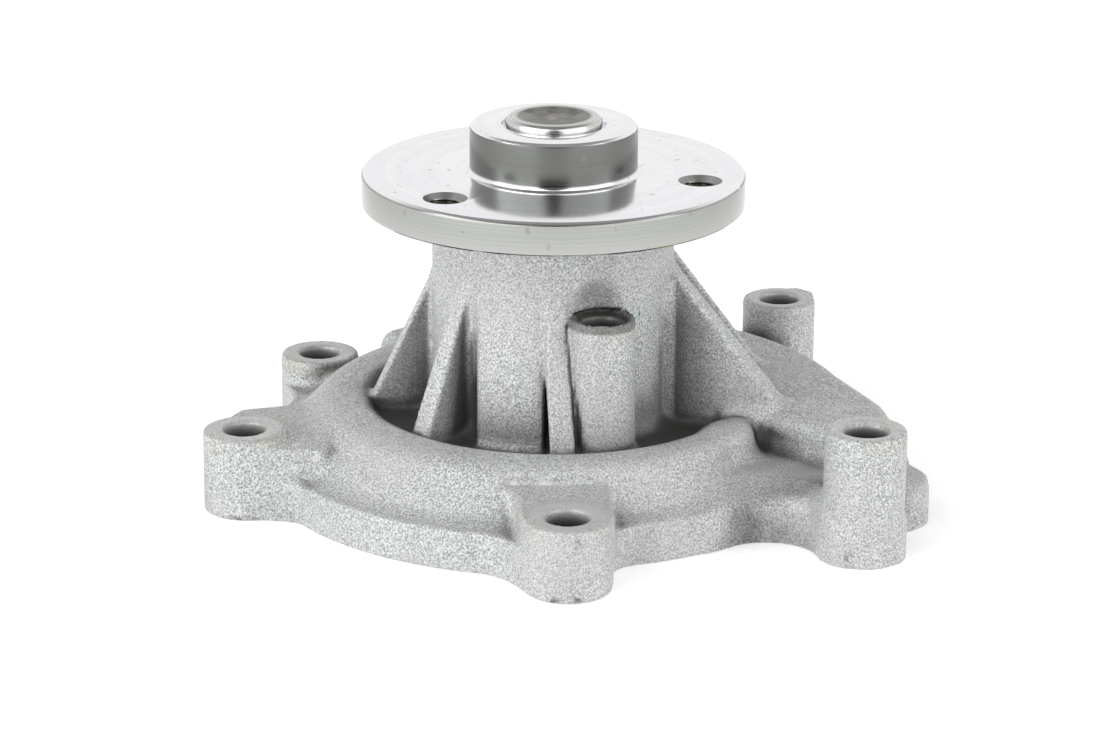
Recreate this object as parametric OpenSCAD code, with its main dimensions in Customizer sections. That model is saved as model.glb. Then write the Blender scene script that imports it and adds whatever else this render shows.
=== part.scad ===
// Automotive coolant pump: cast housing with its bearing neck, mounting bosses and outlet
// scroll, an integral double-row shaft bearing, a mechanical face seal, an impeller with
// curved vanes, and a pressed-on pulley flange.
// The origin is on the shaft axis, in the plane of the mounting face. +Z points along the
// shaft to the pulley, +X to the outlet.

/* [Mounting flange] */
// Thickness of the mounting flange
flange_t = 7; // [6:0.5:8]
// Radius of the flange around the dome
flange_r = 48.7; // [48:0.1:49.5]
// Radius of the flange between the front boss and the outlet boss
flange_front_r = 45.3; // [45:0.1:46]
// Diameter of the holes for the mounting bolts
bolt_hole_d = 7; // [6.6:0.1:7.4]
// Outer diameter of the common mounting bosses
boss_d = 13.6; // [13:0.1:14]

/* [Dome and trough] */
// Radius at which the dome meets the flange
dome_foot_r = 46; // [45.6:0.1:46.4]
// Height of the dome ring above the mounting face
dome_z = 15; // [14.8:0.1:15.4]
// Height of the trough between the dome ring and the neck
trough_z = 12; // [11.8:0.1:12.3]
// Height of the low deck beside the outlet scroll
deck_z = 10; // [9:0.5:10.5]

/* [Bearing neck] */
// Outer diameter of the neck
neck_d = 40.5; // [40:0.1:41]
// Height of the neck above the mounting face
neck_z = 45.5; // [45.2:0.1:46]
// Thickness of the stiffening ribs
rib_t = 3.6; // [3.2:0.1:4]

/* [Outlet scroll] */
// Height of the scroll above the mounting face
scroll_z = 16.5; // [16:0.1:17.5]
// Radius at which the scroll starts
scroll_start_r = 42; // [41.5:0.1:42.5]
// Growth of the scroll radius up to the outlet
scroll_growth = 8; // [7:0.5:8.5]
// Wall thickness of the scroll
scroll_wall = 4.5; // [4:0.1:5]

/* [Pulley flange] */
// Diameter of the pulley flange
pulley_d = 64; // [60:0.5:66]
// Height of the underside of the pulley flange
pulley_z = 48.1; // [47:0.1:49]
// Thickness of the pulley flange
pulley_t = 5.6; // [5:0.1:7]
// Diameter of the pilot that centres the pulley
pilot_d = 28; // [26:0.5:30]
// Height of the pilot above the flange
pilot_h = 8; // [6:0.5:9]
// Diameter of the bolt circle for the pulley
bolt_circle_d = 50; // [48:0.5:52]
// Number of pulley bolts
pulley_bolts = 3; // [3:1:4]
// Tapping diameter of the pulley bolt threads
thread_d = 5; // [4.8:0.1:5.4]

/* [Shaft and bearing] */
// Diameter of the shaft
shaft_d = 15.918; // [15.9:0.002:15.93]
// Length of shaft that stands proud of the pilot
shaft_proud = 1.3; // [0.5:0.1:2]
// Outer diameter of the bearing
bearing_d = 30; // [29.8:0.1:30.2]
// Length of the outer race
race_l = 23.6; // [23:0.1:23.8]
// Diameter of a bearing ball
ball_d = 5; // [4.8:0.1:5]
// Number of balls in a row
ball_count = 8; // [6:1:9]

/* [Impeller] */
// Diameter of the impeller
impeller_d = 58; // [54:0.5:59]
// Number of vanes
vane_count = 7; // [5:1:8]
// Thickness of a vane
vane_t = 2; // [1.6:0.1:2.6]
// Thickness of the impeller disc
disc_t = 2; // [1.6:0.1:2.2]

/* [Hidden] */
$fn = 96;
eps = 0.02;

// Mounting bosses: [x, y, outer radius, height of the face under the bolt head]
left_front_boss = [-50.8, -17.5, 6.9, 13.8];
front_boss = [2.6, -53.1, 7, 12.1];
outlet_boss = [50.2, -38, 6.6, 21.7];
left_back_boss = [-41.3, 30, boss_d / 2, 11.6];
right_back_boss = [41, 45.3, 6.5, 17.5];
back_boss = [-5.5, 52.7, boss_d / 2, 12.1];
bosses = [left_front_boss, front_boss, outlet_boss, left_back_boss, right_back_boss, back_boss];
// Low round lobe of the flange under the outlet: [x, y, radius]
outlet_lobe = [54.5, -20.5, 7.8];
// Breather boss in front of the neck: [x, y, outer radius, height]
vent_boss = [8.1, -20.3, 5.5, 34.6];
vent_hole_d = 7;
vent_floor_z = 16.6;

// Rows of the bearing, seal and impeller along the axis
bore_r = bearing_d / 2;
shaft_r = shaft_d / 2;
race_z = 21;
race_bore_r = 11.9;
ball_r = ball_d / 2;
ball_pitch_r = 9.95;
groove_play = 0.1;
row_z = [race_z + 6, race_z + 17.6];
shield_t = 1.2;
shield_seat_r = 12.4;
lip_play = 0.08;

chamber_r = 30.5;
chamber_z = 9;
groove_r = 38.5;
groove_z = 10.8;
scroll_a0 = 135;
scroll_a1 = 7;

impeller_z = 1.2;
disc_z = 5.6;
hub_r = 15;
spigot_r = 6;
spigot_z = 5.2;
bush_r = 9;
pocket_r = 13.4;

cup_z = 9.2;
cup_top_z = 17.6;
cup_t = 0.8;
lip_r = 17;
carbon_z = 9.4;
ring_face_r = [8.6, 11];
spring_r = 13;
spring_wire_d = 0.9;
spring_turns = 3;

function polar(r, a) = [r * cos(a), r * sin(a)];
function arc(c, r, a0, a1, n) = [for (i = [0:n]) c + polar(r, a0 + (a1 - a0) * i / n)];
function xy(p) = [p[0], p[1]];

// Centre of the circle of radius f that bites a little into circle a (radius ra) and
// circle b (radius rb), so that their arcs cross cleanly
function fillet_centre(a, ra, b, rb, f, side) =
    let (bite = 0.05,
         d = norm(b - a),
         u = (b - a) / d,
         reach_a = ra + f - bite,
         reach_b = rb + f - bite,
         x = (reach_a * reach_a - reach_b * reach_b + d * d) / (2 * d),
         y = sqrt(reach_a * reach_a - x * x))
    a + x * u + side * y * [-u[1], u[0]];

// Web between two circles, with a concave fillet of radius f on one side
module web(a, ra, b, rb, f, side) {
    c = fillet_centre(a, ra, b, rb, f, side);
    difference() {
        polygon([a, b, c]);
        translate(c) circle(r = f);
    }
}

module tube(r_out, r_in, z0, z1) {
    translate([0, 0, z0]) difference() {
        cylinder(r = r_out, h = z1 - z0);
        translate([0, 0, -1]) cylinder(r = r_in, h = z1 - z0 + 2);
    }
}

// ---- housing ----

// Radius of the scroll's shoulder at angle a, growing clockwise to the outlet
function scroll_r(a) = scroll_start_r + scroll_growth * pow((scroll_a0 - a) / (scroll_a0 - scroll_a1), 1.9);

// Outline of the scroll, drawn in by an inset
function scroll_points(inset) = concat(
    [for (a = [scroll_a0:-8:scroll_a1]) polar(scroll_r(a) - inset, a)],
    [[55.9 - inset, -9.5], [57.4 - inset, -17], [56.4 - inset, -23.5 + inset],
     [46 + inset / 2, -22.5 + inset], [0, 0]]);

// Extrudes each child to the thickness of the flange
module plates() for (i = [0:$children - 1]) linear_extrude(height = flange_t) children(i);

module flange() {
    centre = [0, 0];
    plates() {
        circle(r = flange_front_r);
        intersection() {
            circle(r = flange_r);
            polygon([[3, -60], [0, 0], [60, 0], [60, 60], [-60, 60], [-60, -60]]);
        }
        polygon(concat([for (a = [scroll_a0:-8:scroll_a1]) polar(scroll_r(a) + 4, a)],
                       [[60, -9], [60, -20], xy(outlet_lobe), [44, -34], centre]));
        translate(xy(outlet_lobe)) circle(r = outlet_lobe[2]);
        web(centre, flange_r, xy(front_boss), front_boss[2], 8, -1);
        web(centre, flange_front_r, xy(front_boss), front_boss[2], 10, 1);
        web(centre, flange_front_r, xy(outlet_boss), outlet_boss[2], 9, -1);
        web(xy(outlet_boss), outlet_boss[2], xy(outlet_lobe), outlet_lobe[2], 5, -1);
        web(centre, flange_r, xy(left_front_boss), left_front_boss[2], 7, 1);
    }
    for (side = [-1, 1]) plates() {
        web(centre, flange_r, xy(left_back_boss), left_back_boss[2], 8, side);
        web(centre, flange_r, xy(back_boss), back_boss[2], 8, side);
        web(centre, 50, xy(right_back_boss), right_back_boss[2], 6, side);
    }
}

// Section of the dome ring, the trough and the neck, from the bore outwards
function dome_points() =
    let (slope_a = 43.3,
         shoulder_r = 5,
         shoulder_x = 36.3,
         lip = 3,
         lip_x = 33,
         foot_fillet = 3.5,
         neck_r = neck_d / 2,
         neck_chamfer = 0.8)
    concat([[bore_r - 1, 3], [dome_foot_r, 3], [dome_foot_r, flange_t]],
           arc([shoulder_x, dome_z - shoulder_r], shoulder_r, slope_a, 90, 5),
           arc([lip_x, dome_z - lip], lip, 90, 160, 5),
           [[lip_x - lip - 0.6, trough_z]],
           arc([neck_r + foot_fillet, trough_z + foot_fillet], foot_fillet, 270, 180, 5),
           [[neck_r, neck_z - neck_chamfer], [neck_r - neck_chamfer, neck_z], [bore_r - 1, neck_z]]);

// Block around the left front boss, joined to the dome
module left_block() linear_extrude(height = 12.5)
    polygon([[-57.7, -17.5], [-55, -10], [-52.7, -3.4], [-40, 0.4], [-38, -24], [-44, -24],
             [-50.8, -24.4]]);

module deck() linear_extrude(height = deck_z)
    polygon([[20, -37.5], [26.5, -34.4], [31.5, -32], [37, -32], [42, -36], [45, -42], [56.5, -38],
             [56.5, -20], [30, -8], [20, -20]]);

// Room above the deck, between the end of the dome ring, the scroll and the outlet boss
module deck_room() translate([0, 0, deck_z]) linear_extrude(height = dome_z + 5)
    polygon([[26, -15.5], [34, -12.4], [35.8, -15], [43.6, -20.2], [46.5, -25], [44, -34],
             [30, -37.5], [24.5, -38.5], [32.5, -22]]);

module scroll_body() difference() {
    hull() for (s = [[0, flange_t - 2], [0.4, 12], [1.8, scroll_z - 1.6], [4.5, scroll_z]])
        translate([0, 0, s[1] - 0.1]) linear_extrude(height = 0.1) polygon(scroll_points(s[0]));
    translate([0, 0, trough_z]) cylinder(r = 30, h = scroll_z);
    translate([0, 0, -1]) cylinder(r = 25, h = scroll_z);
}

// Rib in a plane through the axis: its edge runs from top, as [r, z] at the neck, to foot
module rib(a, t, top, foot) rotate([0, 0, a]) rotate([90, 0, 0]) translate([0, 0, -t / 2])
    linear_extrude(height = t)
        polygon([[bore_r + 2, foot[1] - 3], [foot[0] + 0.6, foot[1] - 3], foot, top,
                 [bore_r + 2, top[1] + 1]]);

module ribs() {
    r0 = neck_d / 2;
    rib(180, rib_t, [r0, 36.5], [30.5, 14.2]);
    rib(-138, rib_t, [r0, 37], [29.6, 13.4]);
    rib(-15, 4.5, [r0, 39.5], [40, 16.4]);
    rib(20, rib_t, [r0, 39.8], [38, 16]);
    rib(70, rib_t, [r0, 37], [31, 14]);
    rib(125, rib_t, [r0, 37], [30.5, 14]);
    front_rib();
}

// Rib at the front of the neck: seen from the front, it widens towards its foot
module front_rib() {
    top_x = [-1.1, 2];
    foot_x = [-0.2, 3.9];
    intersection() {
        rotate([90, 0, 0]) linear_extrude(height = 30)
            polygon([[top_x[0], 40], [top_x[1], 40], [foot_x[1], 9], [foot_x[0], 9]]);
        rib(-90, 12, [neck_d / 2, 39], [27.2, 12.2]);
    }
}

// Thickened panel of the neck beside the front rib, with a small ledge along its foot
module neck_panel() translate([-12.4, 0, 0]) rotate([90, 0, 90]) linear_extrude(height = 10.7)
    polygon([[-16, 9], [-23.6, 9], [-23.4, 13.6], [-22.6, 14.2], [-20, 36.5], [-16, 36.5]]);

module right_back_boss_body() {
    b = right_back_boss;
    translate(xy(b)) {
        cylinder(r = b[2], h = b[3]);
        linear_extrude(height = b[3]) polygon([[0, 0], [-1, 5.9], [4.2, 6.5], [6.5, 4.2], [5.9, -1]]);
    }
}

module housing_body() {
    flange();
    difference() {
        union() {
            intersection() {
                rotate_extrude() polygon(dome_points());
                linear_extrude(height = neck_z) union() {
                    circle(r = flange_front_r - 1.5);
                    polygon([[-4, -60], [0, 0], [60, 0], [60, 60], [-60, 60], [-60, -60]]);
                }
            }
            scroll_body();
        }
        deck_room();
        translate([-7.6, -62, front_boss[3]]) cube([16.8, 23, 8]);
    }
    translate([30.2, -19.8, 8]) cylinder(r1 = 6, r2 = 4.4, h = dome_z - 8.3);
    deck();
    left_block();
    for (b = [left_front_boss, front_boss, outlet_boss, left_back_boss, back_boss])
        translate(xy(b)) cylinder(r = b[2], h = b[3]);
    right_back_boss_body();
    ribs();
    neck_panel();
    translate(xy(vent_boss)) cylinder(r = vent_boss[2], h = vent_boss[3]);
}

// Impeller chamber, volute groove and outlet passage, all open at the mounting face
module water_way() {
    translate([0, 0, -1]) cylinder(r = chamber_r, h = chamber_z + 1);
    rotate([0, 0, scroll_a0]) rotate_extrude(angle = 185)
        polygon(concat([[chamber_r - 1, -1], [groove_r, -1], [groove_r, groove_z - 2.5]],
                       arc([groove_r - 2.5, groove_z - 2.5], 2.5, 0, 90, 4),
                       [[chamber_r + 1, groove_z], [chamber_r - 1, chamber_z - 1]]));
    passage = concat([for (a = [scroll_a0:-8:scroll_a1]) polar(scroll_r(a) - scroll_wall, a)],
                     [[55.9 - scroll_wall, -9.5], [56.4 - scroll_wall, -23.5 + scroll_wall],
                      [46.3, -22.9 + scroll_wall], [39.5, -9.5], [0, 0]]);
    difference() {
        translate([0, 0, -1]) linear_extrude(height = 1 + scroll_z - scroll_wall) polygon(passage);
        translate([0, 0, chamber_z - 1]) cylinder(r = 33, h = scroll_z);
        translate([0, 0, -2]) cylinder(r = chamber_r - 2, h = scroll_z);
    }
}

module housing() color("silver") difference() {
    housing_body();
    water_way();
    translate([0, 0, 1]) cylinder(r = bore_r, h = neck_z);
    translate([0, 0, neck_z - 0.6]) cylinder(r1 = bore_r, r2 = bore_r + 0.62, h = 0.62);
    translate([0, 0, 1]) cylinder(r = lip_r + 0.2, h = cup_z + cup_t - 1);
    for (b = bosses) translate([b[0], b[1], -1]) cylinder(d = bolt_hole_d, h = b[3] + 2);
    translate([outlet_boss[0], outlet_boss[1], outlet_boss[3] - 0.85])
        cylinder(d1 = bolt_hole_d, d2 = bolt_hole_d + 1.8, h = 0.87);
    translate([vent_boss[0], vent_boss[1], 0]) vent_hole();
    vent_side_passage();
}

// Breather hole, with its countersink and the relief that it leaves in the neck above
module vent_hole() {
    top_z = vent_boss[3];
    relief_z = top_z + 2;
    translate([0, 0, vent_floor_z]) cylinder(d = vent_hole_d, h = relief_z - vent_floor_z);
    translate([0, 0, relief_z - eps]) cylinder(d1 = vent_hole_d, d2 = 2.4, h = 3);
    translate([0, 0, top_z - 1.3]) cylinder(d1 = vent_hole_d, d2 = vent_hole_d + 3.8, h = 1.32);
}

// Drilling from the breather hole to the chamber between the bearing and the seal
module vent_side_passage() {
    a = atan2(vent_boss[1], vent_boss[0]);
    rotate([0, 0, a]) translate([bore_r - 1, 0, (cup_top_z + race_z) / 2]) rotate([0, 90, 0])
        cylinder(r = 1.4, h = norm(xy(vent_boss)) - bore_r + 1);
}

// ---- rotor ----

module pulley_flange() color("gainsboro") {
    chamfer = 0.6;
    foot = 0.5;
    pilot_r = pilot_d / 2;
    top_z = pulley_z + pulley_t;
    mouth = 0.5;
    difference() {
        rotate_extrude() polygon(concat(
            [[shaft_r, pulley_z], [pulley_d / 2 - chamfer / 2, pulley_z],
             [pulley_d / 2, pulley_z + chamfer / 2], [pulley_d / 2, top_z - chamfer],
             [pulley_d / 2 - chamfer, top_z]],
            arc([pilot_r + foot, top_z + foot], foot, 270, 180, 4),
            [[pilot_r, top_z + pilot_h - chamfer], [pilot_r - chamfer, top_z + pilot_h],
             [shaft_r + mouth, top_z + pilot_h], [shaft_r, top_z + pilot_h - mouth]]));
        for (i = [0:pulley_bolts - 1]) rotate([0, 0, 105.5 + i * 360 / pulley_bolts])
            translate([bolt_circle_d / 2, 0, pulley_z]) {
                translate([0, 0, -1]) cylinder(d = thread_d, h = pulley_t + 2);
                translate([0, 0, pulley_t - 1.1]) cylinder(d1 = thread_d, d2 = thread_d + 2.24, h = 1.12);
                translate([0, 0, -eps]) cylinder(d1 = thread_d + 1.2, d2 = thread_d, h = 0.6);
            }
    }
}

module shaft() color("darkgray") {
    top_z = pulley_z + pulley_t + pilot_h + shaft_proud;
    edge = 0.8;
    dish = 0.25;
    rotate_extrude() difference() {
        polygon(concat(
            [[0, impeller_z], [spigot_r - 0.5, impeller_z], [spigot_r, impeller_z + 0.5],
             [spigot_r, spigot_z], [shaft_r, spigot_z]],
            arc([shaft_r - edge, top_z - edge], edge, 0, 90, 4),
            [[shaft_r - 2, top_z], [shaft_r - 2.6, top_z - dish], [0, top_z - dish]]));
        for (z = row_z) translate([ball_pitch_r, z]) circle(r = ball_r + groove_play);
    }
}

module bearing_outer_race() color("lightsteelblue") rotate_extrude() difference() {
    c = 0.7;
    top_z = race_z + race_l;
    polygon([[shield_seat_r, race_z], [bore_r - c, race_z], [bore_r, race_z + c], [bore_r, top_z - c],
             [bore_r - c, top_z], [shield_seat_r, top_z], [shield_seat_r, top_z - shield_t - 0.3],
             [race_bore_r, top_z - shield_t - 0.3], [race_bore_r, race_z + shield_t + 0.3],
             [shield_seat_r, race_z + shield_t + 0.3]]);
    for (z = row_z) translate([ball_pitch_r, z]) circle(r = ball_r + groove_play);
}

module ball_row(z) for (i = [0:ball_count - 1]) rotate([0, 0, i * 360 / ball_count])
    translate([ball_pitch_r, 0, z]) sphere(r = ball_r, $fn = 48);

// Crown cage: a ring whose open pockets snap over the balls; side is the closed side
module cage(z, side) {
    pocket = ball_r + 0.12;
    closed = 3.3;
    open = 1.1;
    difference() {
        tube(10.8, 9.1, z - (side < 0 ? closed : open), z + (side < 0 ? open : closed));
        for (i = [0:ball_count - 1]) rotate([0, 0, i * 360 / ball_count])
            translate([ball_pitch_r, 0, z]) sphere(r = pocket, $fn = 48);
    }
}

module balls_upper() color("white") ball_row(row_z[1]);

module balls_lower() color("white") ball_row(row_z[0]);

module cage_upper() color("goldenrod") cage(row_z[1], -1);

module cage_lower() color("goldenrod") cage(row_z[0], 1);

// Lip seal of the bearing: a stiffened disc with a thin lip that runs on the shaft
module bearing_shield(z, side) translate([0, 0, z]) rotate_extrude()
    polygon([[shield_seat_r, 0], [shield_seat_r, side * shield_t], [9.4, side * shield_t],
             [shaft_r + lip_play, side * shield_t * 0.75], [shaft_r + lip_play, side * shield_t * 0.4],
             [9.4, side * shield_t * 0.35], [9.9, 0]]);

module bearing_seal_upper() color("dimgray") bearing_shield(race_z + race_l - 0.3, -1);

module bearing_seal_lower() color("dimgray") bearing_shield(race_z + 0.3, 1);

module slinger() color("dimgray") rotate_extrude()
    polygon([[shaft_r, 18.4], [shaft_r, 20.4], [9.4, 20.4], [9.8, 19.6], [12.2, 18.9], [12.2, 18.4],
             [9.6, 18.8]]);

// ---- seal ----

module seal_cup() color("peru") rotate_extrude()
    polygon([[bore_r, cup_z + cup_t], [lip_r, cup_z + cup_t], [lip_r, cup_z], [bore_r - cup_t, cup_z],
             [bore_r - cup_t, cup_top_z - cup_t], [8.6, cup_top_z - cup_t], [8.6, cup_top_z],
             [bore_r - 0.6, cup_top_z], [bore_r, cup_top_z - 0.6]]);

// Rings of points along the coil, each turned to face along the wire
function coil_ring(a, z, n) =
    [for (k = [0:n - 1])
        let (q = polar(spring_wire_d / 2, k * 360 / n), r = spring_r + q[0])
        [r * cos(a), r * sin(a), z + q[1]]];

module seal_spring() color("silver") {
    sides = 8;
    steps = 20;
    rings = spring_turns * steps;
    z0 = 13.2 + spring_wire_d / 2;
    z1 = cup_top_z - cup_t - 0.02 - spring_wire_d / 2;
    points = [for (i = [0:rings], p = coil_ring(i * 360 / steps, z0 + (z1 - z0) * i / rings, sides)) p];
    walls = [for (i = [0:rings - 1], k = [0:sides - 1])
        [i * sides + k, i * sides + (k + 1) % sides, (i + 1) * sides + (k + 1) % sides,
         (i + 1) * sides + k]];
    first = [[for (k = [sides - 1:-1:0]) k]];
    last = [[for (k = [0:sides - 1]) rings * sides + k]];
    polyhedron(points = points, faces = concat(walls, first, last), convexity = 6);
}

module spring_retainer() color("silver") rotate_extrude()
    polygon([[12.3, 12.5], [14, 12.5], [14, 13.2], [12.9, 13.2], [12.3, 12.9]]);

// Rubber bellows: it holds the carbon ring and reaches up to the cup
module seal_bellows() color("black") rotate_extrude()
    polygon([[ring_face_r[1], 10.6], [11.9, 10.6], [11.9, 12.4], [12.25, 12.5], [12.25, 13.1],
             [11.2, 13.4], [10.4, 14], [10.4, 15], [11.6, 15.8], [11.6, cup_top_z - cup_t],
             [8.9, cup_top_z - cup_t], [8.9, 16.2], [9.6, 15.4], [9.6, 13.6], [9, 13.2],
             [9, 12.6], [ring_face_r[1], 12.6]]);

module bellows_band() color("silver") tube(12.25, 11.9, 10.8, 12.3);

module carbon_ring() color([0.2, 0.2, 0.2]) rotate_extrude()
    polygon([[ring_face_r[0], 12.6], [ring_face_r[0], carbon_z + 0.4], [9, carbon_z], [10.4, carbon_z],
             [10.7, carbon_z + 0.6], [ring_face_r[1], carbon_z + 0.9], [ring_face_r[1], 12.6]]);

module mating_ring() color("ivory") tube(12.4, shaft_r + 0.2, 6.2, carbon_z - 0.01);

module mating_ring_cup() color("black") rotate_extrude()
    polygon([[shaft_r, spigot_z], [pocket_r, spigot_z], [pocket_r, 8.4], [12.4, 8.8], [12.4, 6.2],
             [shaft_r, 6.2]]);

// ---- impeller ----

// Outline of one vane, swept back from the hub to the rim
module vane_shape() {
    centre = [13.5, 12];
    arc_r = 14.2;
    intersection() {
        difference() {
            translate(centre) circle(r = arc_r + vane_t / 2);
            translate(centre) circle(r = arc_r - vane_t / 2);
        }
        difference() {
            circle(d = impeller_d - 1);
            circle(r = hub_r - 1);
        }
        polygon([[10, -4], [40, -4], [40, 30], [20, 14], [10, 4]]);
    }
}

module impeller() color("silver") difference() {
    union() {
        translate([0, 0, disc_z]) cylinder(d = impeller_d, h = disc_t);
        translate([0, 0, impeller_z]) cylinder(r1 = hub_r - 1, r2 = hub_r, h = disc_z + disc_t - impeller_z);
        for (i = [0:vane_count - 1]) rotate([0, 0, i * 360 / vane_count])
            translate([0, 0, impeller_z]) linear_extrude(height = disc_z - impeller_z + 0.5) vane_shape();
    }
    translate([0, 0, -1]) cylinder(r = bush_r, h = 20);
    translate([0, 0, spigot_z]) cylinder(r = pocket_r, h = 10);
}

module impeller_bush() color("gray") tube(bush_r, spigot_r, impeller_z, spigot_z);

housing();
pulley_flange();
shaft();
bearing_outer_race();
balls_upper();
balls_lower();
cage_upper();
cage_lower();
bearing_seal_upper();
bearing_seal_lower();
slinger();
seal_cup();
seal_spring();
spring_retainer();
seal_bellows();
bellows_band();
carbon_ring();
mating_ring();
mating_ring_cup();
impeller();
impeller_bush();
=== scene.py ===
import math

import bmesh
import bpy
import numpy as np
import openvdb
from mathutils import Matrix, Vector


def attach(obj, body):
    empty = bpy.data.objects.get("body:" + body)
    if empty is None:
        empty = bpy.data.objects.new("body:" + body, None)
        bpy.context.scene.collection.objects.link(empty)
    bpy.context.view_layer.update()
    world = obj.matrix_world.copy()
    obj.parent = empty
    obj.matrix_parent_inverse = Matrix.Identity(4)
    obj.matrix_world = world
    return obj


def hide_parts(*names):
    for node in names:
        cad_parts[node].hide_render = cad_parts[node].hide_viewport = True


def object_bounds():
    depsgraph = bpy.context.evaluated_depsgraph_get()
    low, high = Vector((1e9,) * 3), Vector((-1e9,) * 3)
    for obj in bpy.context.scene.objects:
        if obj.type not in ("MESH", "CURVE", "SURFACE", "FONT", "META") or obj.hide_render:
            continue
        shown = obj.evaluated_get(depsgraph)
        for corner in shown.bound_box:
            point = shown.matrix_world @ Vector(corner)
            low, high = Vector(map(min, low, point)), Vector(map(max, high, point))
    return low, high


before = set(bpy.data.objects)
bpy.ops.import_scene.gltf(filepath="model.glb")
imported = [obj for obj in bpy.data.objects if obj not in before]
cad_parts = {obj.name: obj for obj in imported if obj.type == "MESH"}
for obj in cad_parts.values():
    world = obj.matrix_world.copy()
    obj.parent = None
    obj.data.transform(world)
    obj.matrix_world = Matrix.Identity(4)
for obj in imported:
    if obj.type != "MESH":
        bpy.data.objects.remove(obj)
CAD_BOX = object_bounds()
MM = 0.001

# ---------------------------------------------------------------- dimensions, in millimetres

FLANGE_T = 7.0
FLANGE_R = 48.7
FRONT_R = 45.3
HOLE_R = 3.5
TROUGH_Z = 12.0
DECK_Z = 10.0
DOME_Z = 15.0
DOME_FOOT_R = 46.0
NECK_R = 20.25
NECK_Z = 45.5
RIB_T = 3.6
SCROLL_Z = 16.5
SCROLL_WALL = 4.5
SCROLL_LEDGE = 3.7
SCROLL_A0, SCROLL_A1 = 135.0, 7.0
SCROLL_R0, SCROLL_GROWTH, SCROLL_CURVE = 42, 8, 1.9
SCROLL_STEP = 4
BORE_R = 15.0
CHAMBER_R, CHAMBER_Z = 30.5, 9.0
GROOVE_R, GROOVE_Z = 38.5, 10.8

# Mounting bosses: x, y, outer radius, height
BOSSES = {
    "left_front": (-50.8, -17.5, 6.9, 13.8),
    "front": (2.6, -53.1, 7.0, 12.1),
    "outlet": (50.2, -38.0, 6.6, 21.7),
    "left_back": (-41.3, 30.0, 6.8, 11.6),
    "right_back": (41.0, 45.3, 6.5, 17.5),
    "back": (-5.5, 52.7, 6.8, 12.1),
}
WEB_FILLET = {"left_front": 7.0, "front": 9.0, "outlet": 9.0,
              "left_back": 8.0, "right_back": 6.0, "back": 8.0}
OUTLET_LOBE = (54.5, -20.5, 7.8)
VENT = (8.1, -20.3, 5.5, 34.6)
# Ribs of the neck: angle, thickness, height at the neck, then foot as (radius, height)
RIBS = [
    (180, RIB_T, 36.0, (30.5, 14.2)),
    (-138, RIB_T, 37.0, (29.6, 13.4)),
    (-15, 4.5, 39.5, (40.0, 16.4)),
    (20, RIB_T, 39.8, (38.0, 16.0)),
    (70, RIB_T, 37.0, (31.0, 14.0)),
    (125, RIB_T, 37.0, (30.5, 14.0)),
]

PULLEY_R, PULLEY_Z, PULLEY_T = 32.0, 48.1, 5.6
PILOT_R, PILOT_H = 14.0, 8.0
BOLT_CIRCLE_R = 25.0
HOLE_ANGLES = (105.5, 225.5, 345.5)
SHAFT_R = 7.959
SHAFT_PROUD = 1.3
SHAFT_LOW = 1.2
IMPELLER_R = 29.0
VANES = 7
# The visual casting keeps this far inside the CAD model's box
BOX_CLEARANCE = 0.03


# ---------------------------------------------------------------- solids as distance fields

class Space:
    """A block of space in millimetres, sampled every step, that solids are described in."""

    def __init__(self, low, high, step):
        self.low, self.step = np.array(low, float), step
        self.x, self.y, self.z = (np.arange(a, b, step, dtype=np.float32) for a, b in zip(low, high))
        self.X, self.Y = np.meshgrid(self.x, self.y, indexing="ij")
        self.R = np.hypot(self.X, self.Y)
        self.A = np.degrees(np.arctan2(self.Y, self.X))
        self.Z = self.z[None, None, :]

    def circle(self, x, y, r):
        return np.hypot(self.X - x, self.Y - y) - r

    def sample(self, field, points):
        """The field's value at points, between the samples."""
        p = (points - self.low) / self.step
        size = np.array(field.shape)
        p = np.clip(p, 0, size - 1.001)
        i = p.astype(int)
        f = p - i
        out = 0
        for corner in range(8):
            o = np.array([corner & 1, corner >> 1 & 1, corner >> 2 & 1])
            weight = np.prod(np.where(o, f, 1 - f), axis=1)
            j = i + o
            out = out + weight * field[j[:, 0], j[:, 1], j[:, 2]]
        return out

    def slope(self, field, points, reach):
        """The field's gradient at points."""
        steps = np.eye(3) * reach
        return np.stack([self.sample(field, points + s) - self.sample(field, points - s) for s in steps],
                        axis=1) / (2 * reach)


def polygon(px, py, points):
    """Signed distance from px, py to a closed outline, negative inside."""
    best = np.full(np.broadcast(px, py).shape, 1e9, np.float32)
    inside = np.zeros(best.shape, bool)
    for (ax, ay), (bx, by) in zip(points, points[1:] + points[:1]):
        ex, ey, wx, wy = bx - ax, by - ay, px - ax, py - ay
        t = np.clip((wx * ex + wy * ey) / (ex * ex + ey * ey + 1e-12), 0, 1)
        best = np.minimum(best, (wx - ex * t) ** 2 + (wy - ey * t) ** 2)
        crosses = (ay > py) != (by > py)
        if ey:
            inside ^= crosses & (wx < ex * wy / ey)
    return np.where(inside, -1, 1) * np.sqrt(best)


def join(a, b, r):
    """Union, with a concave fillet of radius r where the two meet."""
    u = np.hypot(np.maximum(r - a, 0), np.maximum(r - b, 0))
    return np.maximum(r, np.minimum(a, b)) - u


def meet(a, b, r):
    """Intersection, with its new edge rounded to radius r."""
    u = np.hypot(np.maximum(r + a, 0), np.maximum(r + b, 0))
    return np.minimum(-r, np.maximum(a, b)) + u


def cut(a, b, r):
    """a without b, with its new edge rounded to radius r."""
    return meet(a, -b, r)


def upright(space, plan, z0, z1, edge):
    """A plan outline raised from z0 to z1, with its rims rounded."""
    if plan.ndim == 2:
        plan = plan[:, :, None]
    w1 = plan + edge
    w2 = np.maximum(z0 - space.Z, space.Z - z1) + edge
    return np.minimum(np.maximum(w1, w2), 0) + np.hypot(np.maximum(w1, 0), np.maximum(w2, 0)) - edge


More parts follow.
